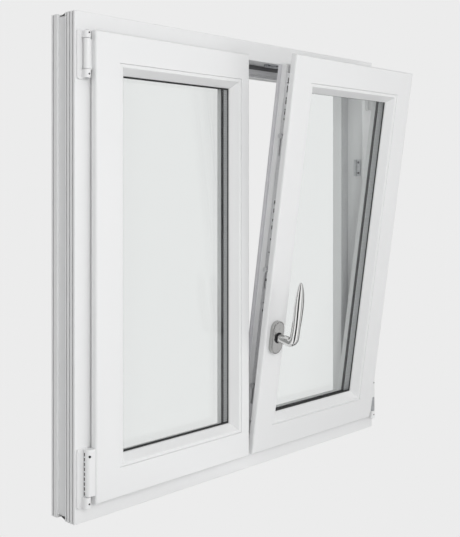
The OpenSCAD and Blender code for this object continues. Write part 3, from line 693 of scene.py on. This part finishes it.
grey_nylon = nylon("grey_nylon", (0.055, 0.058, 0.062, 1), (0.075, 0.078, 0.084, 1))
for node in ("left_setting_blocks", "right_setting_blocks"):
    dress(node, grey_nylon)

# ---- Steel inside the profiles and the locking gear ----
# Galvanised tubes stiffen the bars. The gear is zinc-plated steel: a faceplate screwed into
# the hardware groove, a drive rail that slides behind it, strikers, shoot bolts and a stay.


def zinc(name, dark, light, roughness=0.34):
    """Zinc-plated steel: cool grey with a faint spangle and fine rolling marks."""
    nodes = Nodes(bpy.data.materials.new(name))
    place = nodes.place()
    spangle = nodes.node("TexVoronoi", {}, {"Vector": place, "Scale": 260.0}, "Color")
    tint = nodes.node("SeparateXYZ", {}, {"Vector": spangle}, 0)
    wear = nodes.noise(place, 35.0, 4.0)
    return nodes.surface({
        "Base Color": nodes.colour(tint * 0.5 + wear * 0.5, dark, light),
        "Metallic": 0.9, "Roughness": roughness + tint * 0.08 + wear * 0.1,
        "Normal": nodes.bump(nodes.noise(place, 900.0), 0.02 * mm)})


zinc_plate = zinc("zinc_plate", (0.42, 0.43, 0.45, 1), (0.62, 0.63, 0.65, 1))
galvanised = zinc("galvanised_steel", (0.36, 0.37, 0.39, 1), (0.60, 0.61, 0.63, 1), 0.4)
for node in ("frame_steel", "left_steel", "right_steel"):
    dress(node, galvanised)
for node in ("faceplate", "drive_rail", "left_edge_plate"):
    dress(node, zinc(f"silvered_{node}", (0.66, 0.66, 0.67, 1), (0.78, 0.78, 0.79, 1), 0.42))
for node in ("strikers", "hinge_pins", "shoot_bolt_top", "shoot_bolt_bottom",
             "stay_guide", "gearbox", "stay_arm", "turn_knuckle", "handle_screws",
             "handle_spindle", "hinge_screws"):
    dress(node, zinc_plate)

# Up the faceplate: where each slot starts and how tall it is, in millimetres. The slots are painted
# shadow: near-black blocks on the faceplate stand in for the shade inside them.
slot_rows = ((812, 8), (799, 5), (790, 10), (776, 4), (766, 9), (753, 3), (744, 7), (733, 4),
             (560, 6), (540, 9), (522, 5), (505, 8), (482, 4), (455, 3), (395, 5), (330, 4))
mark_near, mark_far = 12.4 * mm, 14.2 * mm
mark_front, mark_back = right_rect[0] + lip - 0.15 * mm, right_rect[0] + lip + 1 * mm
slot_shadow_marks = []
for height, tall in slot_rows:
    mark = block((mark_front, mark_near, height * mm),
                 (mark_back, mark_far, (height + tall) * mm), 0.12 * mm, 1)
    bmesh.ops.transform(mark, matrix=lean, verts=mark.verts[:])
    slot_shadow_marks.append(mark)
fitted("faceplate_slot_shadows", "right_leaf",
       zinc("painted_slot_shadow", (0.03, 0.03, 0.03, 1), (0.06, 0.06, 0.06, 1), 0.6), slot_shadow_marks)

# ---- Hinges ----
# White powder-coated bearings on the frame, with round knuckles on a steel pin. The leaf's
# own knuckle turns between the fixed ones.


def powder_coat(name, tone):
    """White powder coat: a soft orange-peel skin over zinc."""
    nodes = Nodes(bpy.data.materials.new(name))
    place = nodes.place()
    peel = nodes.noise(place, 700.0, 1.0)
    mottle = nodes.noise(place, 30.0)
    darker = tuple(part * 0.97 for part in tone)
    return nodes.surface({
        "Base Color": nodes.colour(mottle, (*darker, 1), (*tone, 1)),
        "Roughness": 0.26 + peel * 0.1, "Normal": nodes.bump(peel, 0.06 * mm)})


white_coat = powder_coat("white_powder_coat", (0.875, 0.878, 0.88))
dress("pivot_shoe", white_coat)
pins_low, pins_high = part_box("hinge_pins")
pin_radius = 3 * mm
hinge_x = pins_high.x - pin_radius
hinge_y = (pins_low.y + pins_high.y) / 2
knuckle_radius = 6.5 * mm
plate_inner, plate_outer, plate_front = 421.5 * mm, 447 * mm, -4 * mm
plate_corner, plate_edge = 5 * mm, 1.1 * mm
top_low, top_high = 780 * mm, 867 * mm
square_end = ((0, 0), (1, 0))


def plate(corners, front, back, edge):
    """A flat plate of (x, z, corner radius) corners, with its front rim rounded."""
    made = drawn(corners, back - front, square_end, square_end)
    rim = [line for line in made.edges if all(vert.co.z < 1e-6 for vert in line.verts)]
    rounded(made, rim, edge, 3)
    upright = Matrix(((1, 0, 0, 0), (0, 0, 1, front), (0, 1, 0, 0), (0, 0, 0, 1)))
    bmesh.ops.transform(made, matrix=upright, verts=made.verts[:])
    return made


def barrel(hand, low, high, radius=knuckle_radius, edge=0.9 * mm):
    """A round knuckle on the hinge line, with its two rims rounded."""
    made = bmesh.new()
    bmesh.ops.create_cone(made, cap_ends=True, segments=40, radius1=radius, radius2=radius,
                          depth=high - low)
    rims = [line for line in made.edges if any(len(face.verts) > 4 for face in line.link_faces)]
    rounded(made, rims, edge, 3)
    middle = (hand * hinge_x, hinge_y, (low + high) / 2)
    bmesh.ops.translate(made, verts=made.verts[:], vec=middle)
    return made


def handed(hand, near, far):
    """Two x values on the right-hand side, or mirrored to the left, lowest first."""
    return sorted((hand * near, hand * far))


def hinge_plate(hand, low, high):
    left, right = handed(hand, plate_inner, plate_outer)
    return plate([(left, low, plate_corner), (right, low, plate_corner),
                  (right, high, plate_corner), (left, high, plate_corner)],
                 plate_front, 0, plate_edge)


def fixed_knuckle(hand, low, high):
    """A knuckle on the web that grows out of its plate."""
    left, right = handed(hand, hinge_x - 4 * mm, hinge_x + knuckle_radius)
    web = block((left, hinge_y, low + 0.4 * mm), (right, plate_front + 0.3 * mm, high - 0.4 * mm),
                0.7 * mm)
    return [barrel(hand, low, high), web]


strap_near, strap_far, strap_back = 418.1 * mm, 419.9 * mm, lip_back - 1.8 * mm
arm_near, arm_front, arm_back = 418.6 * mm, hinge_y + 3.6 * mm, hinge_y + 5.2 * mm


def leaf_knuckle(hand, low, high):
    """A knuckle with the strap that grips the edge of the leaf's lip."""
    left, right = handed(hand, strap_near, strap_far)
    strap = block((left, arm_front, low), (right, strap_back, high), 0.4 * mm)
    left, right = handed(hand, arm_near, hinge_x)
    arm = block((left, arm_front, low), (right, arm_back, high), 0.4 * mm)
    return [barrel(hand, low, high), strap, arm]


low_plate = (27 * mm, 132 * mm)
fitted("left_hinge_brackets", "frame", white_coat, [
    hinge_plate(-1, top_low, top_high), *fixed_knuckle(-1, top_low + 2 * mm, top_low + 17 * mm),
    *fixed_knuckle(-1, top_high - 15 * mm, top_high - 2 * mm), hinge_plate(-1, *low_plate),
    *fixed_knuckle(-1, low_plate[0] + 1 * mm, low_plate[0] + 21 * mm)], ["left_hinge_plates"])
cover_left, cover_right, cover_front, cover_back = -3 * mm, 13.6 * mm, -6.9 * mm, 7.1 * mm
cover_corners = [(cover_left, cover_front, 6.4 * mm), (cover_right, cover_front, 1.2 * mm),
                 (cover_right, cover_back, 1 * mm), (cover_left, cover_back, 2 * mm)]
cover_low, cover_high = low_plate[0] + 21.5 * mm, low_plate[1] - 1 * mm
hinge_cover = drawn(cover_corners, cover_high - cover_low, square_end, square_end)
rims = [line for line in hinge_cover.edges if any(abs(face.normal.z) > 0.9 for face in line.link_faces)]
rounded(hinge_cover, rims, 1.4 * mm, 3)
bmesh.ops.translate(hinge_cover, verts=hinge_cover.verts[:],
                    vec=(-hinge_x, hinge_y, cover_low))
fitted("left_hinge_barrels", "left_leaf", white_coat,
       [*leaf_knuckle(-1, top_low + 17.5 * mm, top_high - 15.5 * mm), hinge_cover],
       ["left_hinge_knuckles"])
right_low = (25 * mm, 122 * mm)
fitted("right_corner_bearing", "frame", white_coat,
       [hinge_plate(1, *right_low), *fixed_knuckle(1, right_low[0] + 1 * mm, 44 * mm),
        *fixed_knuckle(1, 78 * mm, right_low[1] - 2 * mm)], ["corner_bearing"])
stay_gap_x, stay_gap_z = 434 * mm, 826 * mm
fitted("right_stay_bearing", "frame", white_coat, [
    plate([(plate_inner, top_low, plate_corner), (plate_outer, top_low, plate_corner),
           (plate_outer, top_high, 4 * mm), (stay_gap_x, top_high, 1.5 * mm),
           (stay_gap_x, stay_gap_z, 1.5 * mm), (plate_inner, stay_gap_z, 1.5 * mm)],
          plate_front, 0, plate_edge),
    *fixed_knuckle(1, top_low + 2 * mm, 827.5 * mm)], ["stay_bearing"])


def highest(shape):
    return max(shape.faces, key=lambda face: face.calc_center_median().z)


def screw_head(radius, rise, place, out):
    """A round head with a drive recess, which looks along out."""
    head = bmesh.new()
    bmesh.ops.create_cone(head, cap_ends=True, segments=24, radius1=radius, radius2=radius,
                          depth=rise)
    bmesh.ops.translate(head, verts=head.verts[:], vec=(0, 0, rise / 2))
    rounded(head, highest(head).edges[:], min(radius, rise) * 0.35, 3)
    crown = highest(head)
    bmesh.ops.inset_region(head, faces=[crown], thickness=radius * 0.4)
    grown = bmesh.ops.extrude_face_region(head, geom=[crown])["geom"]
    sunk = [part for part in grown if isinstance(part, bmesh.types.BMVert)]
    bmesh.ops.translate(head, verts=sunk, vec=(0, 0, -rise * 0.6))
    turned = Vector(out).to_track_quat("Z", "Y").to_matrix().to_4x4()
    turned.translation = place
    bmesh.ops.transform(head, matrix=turned, verts=head.verts[:])
    return head


towards_room = (0, -1, 0)
screw_x = plate_outer - 4.5 * mm
plates = [(hand, low, high) for hand, low, high in (
    (-1, top_low, top_high), (1, top_low, top_high), (-1, *low_plate), (1, *right_low))]
fitted("hinge_plate_caps", "frame", white_coat,
       [screw_head(3 * mm, 0.6 * mm, (hand * screw_x, plate_front, height), towards_room)
        for hand, low, high in plates for height in (low + 8 * mm, high - 8 * mm)],
       ["hinge_screws"])
# Blackened steel for the adjuster, striker and grub screws. It also paints shade: the row of black
# dashes on the hinge cover's flank stands in for the shade in its ratchet notches.
black_steel_and_notch_shade = zinc("blackened_steel_and_notch_shade", (0.012, 0.012, 0.013, 1), (0.03, 0.03, 0.032, 1), 0.45)
dash_count, dash_high, dash_step = 9, 6 * mm, 8.6 * mm
dash_near, dash_far = hinge_y + 2.4 * mm, hinge_y + 4.6 * mm
notch_shade_dashes = [cover_low + 2 * mm + dash_step * place for place in range(dash_count)]
cover_side = cover_left - hinge_x
fitted("left_hinge_notch_shadows", "left_leaf", black_steel_and_notch_shade,
       [block((cover_side - 0.3 * mm, dash_near, dash),
              (cover_side + 0.5 * mm, dash_far, dash + dash_high), 0.2 * mm)
        for dash in notch_shade_dashes])
fitted("left_hinge_adjuster", "left_leaf", black_steel_and_notch_shade,
       [screw_head(2.2 * mm, 1.6 * mm, (-hinge_x + 1.2 * mm, hinge_y - 6 * mm,
                                        cover_high - 11.5 * mm), (-0.5, -1, 0))])
striker_edge = 13 * mm
head_striker, sill_striker, jamb_strikers = 90 * mm, 120 * mm, (180 * mm, 640 * mm)
striker_y, striker_rise = 10 * mm, 2.5 * mm
rebate_top, rebate_low = frame_rect[3] - frame_face, frame_rect[2] + frame_face
rebate_right = frame_rect[1] - frame_face
striker_screws = []
for away in (-striker_edge, striker_edge):
    striker_screws += [
        ((head_striker + away, striker_y, rebate_top - striker_rise), (0, 0, -1)),
        ((sill_striker + away, striker_y, rebate_low + striker_rise), (0, 0, 1))]
    striker_screws += [((rebate_right - striker_rise, striker_y, height + away), (-1, 0, 0))
                       for height in jamb_strikers]
fitted("striker_screw_heads", "frame", black_steel_and_notch_shade,
       [screw_head(2.8 * mm, 0.9 * mm, place, out) for place, out in striker_screws])
grub_y = hinge_y - knuckle_radius + 0.5 * mm
grub_heights = {-1: (top_low + 8.6 * mm, top_high - 6 * mm, low_plate[0] + 10 * mm),
                1: (top_low + 8.6 * mm, right_low[1] - 9 * mm, right_low[0] + 10 * mm)}
fitted("hinge_grub_screws", "frame", black_steel_and_notch_shade,
       [screw_head(1.7 * mm, 0.7 * mm, (hand * hinge_x, grub_y, height), towards_room)
        for hand, heights in grub_heights.items() for height in heights])

# ---- Drain caps ----
# Small hooded covers of the same PVC, clipped over the drainage slots outdoors.
dress("drain_caps", pvc_level)

# ---- Handle ----
# A satin steel lever on an oval rose. The lever is one forging: a round neck, an elbow and
# a slim leaf-shaped grip that ends in a point.


def satin_steel(name, dark, light):
    """Brushed stainless steel, polished along the grip."""
    nodes = Nodes(bpy.data.materials.new(name))
    place = nodes.place()
    brushed = nodes.noise(nodes.stretch(place, (1, 1, 0.03)), 900.0, 3.0)
    smears = nodes.noise(place, 60.0)
    return nodes.surface({
        "Base Color": nodes.colour(smears, dark, light),
        "Metallic": 1.0, "Roughness": 0.10 + brushed * 0.06 + smears * 0.03,
        "Normal": nodes.bump(brushed, 0.004 * mm)})


polished_steel = satin_steel("polished_steel", (0.80, 0.80, 0.795, 1), (0.87, 0.868, 0.86, 1))
# Painted shade: the rose is the same steel as the lever, with its base colour set far darker to paint
# in a dimmer reflection than the lever's.
rose_steel_painted_dark = satin_steel("rose_steel_painted_dark", (0.46, 0.46, 0.455, 1), (0.53, 0.528, 0.52, 1))
spindle = Vector((22 * mm, leaf_face, 283 * mm))
rose_half_width, rose_half_height, rose_thick = 17 * mm, 35 * mm, 10 * mm
rose_corner = rose_half_width - 0.1 * mm
rose = plate([(spindle.x + across * rose_half_width, spindle.z + up * rose_half_height, rose_corner)
              for across, up in ((-1, -1), (1, -1), (1, 1), (-1, 1))],
             spindle.y - rose_thick, spindle.y, 3.2 * mm)
bmesh.ops.transform(rose, matrix=lean, verts=rose.verts[:])
fitted("handle_rose_plate", "right_leaf", rose_steel_painted_dark, [rose], ["handle_rose"])

neck_radius = 9.6 * mm
neck_reach, bend_radius, bend_steps = 31 * mm, 13 * mm, 8
grip_rise = 114 * mm
# Up the grip: share of the rise, half width, half thickness, and lean out into the room.
grip_stations = ((0.07, 9.2, 9.4, 0.3), (0.16, 9.0, 9.2, 0.8), (0.28, 9.6, 9.3, 1.4),
                 (0.42, 10.4, 9.4, 1.8), (0.56, 10.8, 9.2, 2.0), (0.68, 10.4, 8.6, 1.9),
                 (0.79, 9.0, 7.6, 1.5), (0.88, 6.9, 6.1, 1.0), (0.95, 4.4, 4.2, 0.6),
                 (0.985, 2.6, 2.6, 0.3), (1.0, 1.1, 1.1, 0.2))
lever = bmesh.new()
bmesh.ops.create_circle(lever, cap_ends=True, segments=32, radius=neck_radius)
bmesh.ops.rotate(lever, verts=lever.verts[:], matrix=Matrix.Rotation(math.radians(90), 3, "X"))
neck_start = spindle + Vector((0, -rose_thick + 2 * mm, 0))
bmesh.ops.translate(lever, verts=lever.verts[:], vec=neck_start)


def grown_ring(shape, tip):
    """A new ring in the place of the tip, which becomes the tip."""
    made = bmesh.ops.extrude_face_region(shape, geom=[tip])["geom"]
    return next(part for part in made if isinstance(part, bmesh.types.BMFace))


lever.faces.ensure_lookup_table()
tip = lever.faces[0]
for _ in range(3):
    tip = grown_ring(lever, tip)
    bmesh.ops.translate(lever, verts=tip.verts[:], vec=(0, -neck_reach / 3, 0))
bend_centre = neck_start + Vector((0, -neck_reach, bend_radius))
bend_turn = Matrix.Rotation(-math.radians(90) / bend_steps, 3, "X")
for _ in range(bend_steps):
    tip = grown_ring(lever, tip)
    bmesh.ops.rotate(lever, verts=tip.verts[:], cent=bend_centre, matrix=bend_turn)
middle = tip.calc_center_median()
width, thickness, foot = neck_radius, neck_radius, middle.copy()
for share, half_width, half_thick, out in grip_stations:
    tip = grown_ring(lever, tip)
    goal = foot + Vector((0, -out * mm, share * grip_rise))
    bmesh.ops.translate(lever, verts=tip.verts[:], vec=goal - middle)
    bmesh.ops.scale(lever, verts=tip.verts[:], space=Matrix.Translation(-goal),
                    vec=(half_width * mm / width, half_thick * mm / thickness, 1))
    middle, width, thickness = goal, half_width * mm, half_thick * mm
bmesh.ops.transform(lever, matrix=lean, verts=lever.verts[:])
lever_piece = fitted("handle_lever_grip", "handle", polished_steel, [lever],
                     ["handle_lever"], 60)
smoother = lever_piece.modifiers.new("smooth_forging", "SUBSURF")
smoother.levels = smoother.render_levels = 1
lever_piece.modifiers.move(1, 0)
bush = bmesh.new()
bmesh.ops.create_cone(bush, cap_ends=True, segments=40, radius1=11.6 * mm, radius2=11.2 * mm,
                      depth=1.6 * mm)
bmesh.ops.rotate(bush, verts=bush.verts[:], matrix=Matrix.Rotation(math.radians(90), 3, "X"))
bmesh.ops.translate(bush, verts=bush.verts[:], vec=spindle + Vector((0, -rose_thick - 0.5 * mm, 0)))
bmesh.ops.transform(bush, matrix=lean, verts=bush.verts[:])
fitted("handle_neck_bush", "right_leaf",
       nylon("black_nylon", (0.010, 0.010, 0.011, 1), (0.018, 0.018, 0.02, 1)), [bush])
